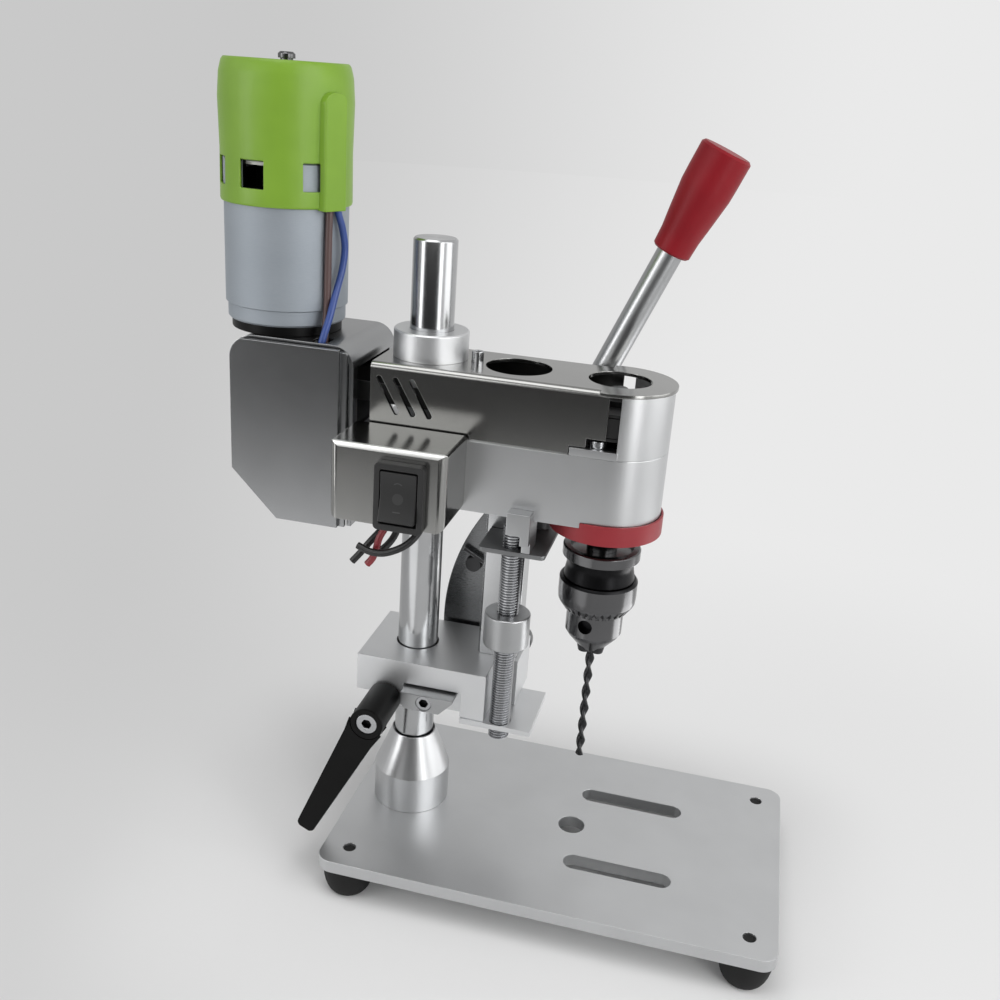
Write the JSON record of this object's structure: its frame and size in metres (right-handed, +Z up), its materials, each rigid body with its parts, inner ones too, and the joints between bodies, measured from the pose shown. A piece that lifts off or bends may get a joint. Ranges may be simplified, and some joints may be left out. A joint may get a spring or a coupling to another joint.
{
  "type": "mini drill press",
  "caption": "Bench drill press: belt-driven head on a round column over a slotted base plate, fed down by a hand lever with a cam slot and a stop nut.",
  "frame": {"origin": "middle of the footprint on the floor, under the middle of the overall box", "axes": "+Z up the column, +X from the motor to the drill, +Y to the feed lever's side"},
  "size_m": [0.2651, 0.12, 0.3486],
  "materials": {
    "plate_aluminium": "brushed",
    "cast_aluminium": "satin",
    "ground_steel": "ground and polished",
    "dark_sheet": "dark, brushed",
    "polished_sheet": "polished",
    "blackened_steel": "blackened",
    "zinc_steel": "zinc plated",
    "bronze": "plain",
    "motor_steel": "satin zinc",
    "black_moulding": "fine matt",
    "green_moulding": "semi-gloss",
    "red_plastic": "semi-gloss",
    "red_ring_plastic": "semi-gloss",
    "white_plastic": "plain",
    "black_rubber": "matt",
    "belt_rubber": "matt",
    "black_pvc": "insulation",
    "red_pvc": "insulation",
    "blue_pvc": "insulation",
    "brown_pvc": "insulation",
    "tool_steel": "black oxide"
  },
  "bodies": {
    "base": {"base_plate": "plate_aluminium", "rubber_feet": "black_rubber", "column_socket": "cast_aluminium", "column": "ground_steel", "column_bolt": "zinc_steel"},
    "bush": {"height_bush": "bronze"},
    "lift": {"lift_block": "cast_aluminium", "clamp_jaw": "blackened_steel", "clamp_jaw_screw": "zinc_steel", "lower_bracket": "plate_aluminium", "block_screws": "blackened_steel", "guide_bar": "ground_steel", "cam_pin": "zinc_steel"},
    "clamp": {"clamp_lever": "black_moulding", "clamp_stud": "zinc_steel"},
    "head": {"head_casting": "cast_aluminium", "column_sleeve": "cast_aluminium", "belt_cover": "polished_sheet", "cover_pin": "zinc_steel", "head_screws": "zinc_steel", "front_shroud": "cast_aluminium", "red_ring": "red_ring_plastic", "upper_bracket": "dark_sheet", "rod_block": "cast_aluminium", "threaded_rod": "zinc_steel", "motor_bracket": "dark_sheet", "inner_plate": "dark_sheet", "side_plate": "dark_sheet", "bracket_screws": "blackened_steel", "motor_end_cap": "black_moulding", "motor_can": "motor_steel", "motor_fan_cover": "green_moulding", "motor_lead_brown": "brown_pvc", "motor_lead_blue": "blue_pvc", "switch_box": "polished_sheet", "switch_frame": "black_moulding", "lead_red": "red_pvc", "lead_black_front": "black_pvc", "lead_black_mid": "black_pvc", "lead_black_back": "black_pvc", "drive_belt": "belt_rubber", "spindle_bearings": "ground_steel", "lever_pivot": "zinc_steel"},
    "stop": {"depth_nut": "cast_aluminium"},
    "lever": {"cam_plate": "dark_sheet", "lever_rod": "ground_steel", "lever_grip": "red_plastic", "stop_lug": "blackened_steel"},
    "spindle": {"spindle": "blackened_steel", "spindle_pulley": "black_moulding", "chuck_body": "zinc_steel", "drill_bit": "tool_steel"},
    "sleeve": {"chuck_sleeve": "zinc_steel"},
    "jaw_1": {"chuck_jaw_1": "blackened_steel"},
    "jaw_2": {"chuck_jaw_2": "blackened_steel"},
    "jaw_3": {"chuck_jaw_3": "blackened_steel"},
    "rotor": {"motor_shaft": "zinc_steel", "motor_pulley": "zinc_steel", "motor_fan": "white_plastic"},
    "rocker": {"switch_rocker": "black_moulding"}
  },
  "joints": [
    {"name": "height", "type": "slide", "parent": "base", "child": "bush", "axis": [0, 0, 1], "range_m": [0, 0.034]},
    {"name": "swivel", "type": "hinge", "parent": "bush", "child": "lift", "pos_m": [-0.04245, 0, 0.091], "axis": [0, 0, 1], "range_deg": [-30, 30]},
    {"name": "clamp_turn", "type": "hinge", "parent": "lift", "child": "clamp", "pos_m": [-0.04965, -0.035, 0.0853], "axis": [0, 1, 0], "range_deg": [0, 60]},
    {"name": "head_feed", "type": "slide", "parent": "lift", "child": "head", "axis": [0, 0, 1], "range_m": [-0.0155, 0]},
    {"name": "lever_swing", "type": "hinge", "parent": "head", "child": "lever", "pos_m": [0.00755, 0.028, 0.189], "axis": [0, 1, 0], "range_deg": [0, 18.5]},
    {"name": "stop_travel", "type": "slide", "parent": "head", "child": "stop", "axis": [0, 0, 1], "range_m": [0, 0.026]},
    {"name": "spindle_spin", "type": "hinge", "parent": "head", "child": "spindle", "pos_m": [0.03655, 0, 0.191], "axis": [0, 0, 1], "continuous": true},
    {"name": "motor_spin", "type": "hinge", "parent": "head", "child": "rotor", "pos_m": [-0.10595, 0, 0.271], "axis": [0, 0, 1], "continuous": true},
    {"name": "sleeve_turn", "type": "hinge", "parent": "spindle", "child": "sleeve", "pos_m": [0.03655, 0, 0.143], "axis": [0, 0, 1], "range_deg": [0, 720]},
    {"name": "rocker_tilt", "type": "hinge", "parent": "head", "child": "rocker", "pos_m": [-0.03665, -0.0494, 0.1931], "axis": [1, 0, 0], "range_deg": [0, 12]},
    {"name": "jaw_slide_1", "type": "slide", "parent": "spindle", "child": "jaw_1", "axis": [0, 0.2419, 0.9703], "range_m": [0, 0.0024]},
    {"name": "jaw_slide_2", "type": "slide", "parent": "spindle", "child": "jaw_2", "axis": [-0.2095, -0.121, 0.9703], "range_m": [0, 0.0024]},
    {"name": "jaw_slide_3", "type": "slide", "parent": "spindle", "child": "jaw_3", "axis": [0.2095, -0.121, 0.9703], "range_m": [0, 0.0024]}
  ],
  "couplings": [
    {"joint": "lever_swing", "follows": "head_feed", "rad_per_m": -20.719},
    {"joint": "motor_spin", "follows": "spindle_spin", "ratio": 2},
    {"joint": "jaw_slide_1", "follows": "sleeve_turn", "m_per_rad": 0.00019},
    {"joint": "jaw_slide_2", "follows": "sleeve_turn", "m_per_rad": 0.00019},
    {"joint": "jaw_slide_3", "follows": "sleeve_turn", "m_per_rad": 0.00019}
  ]
}
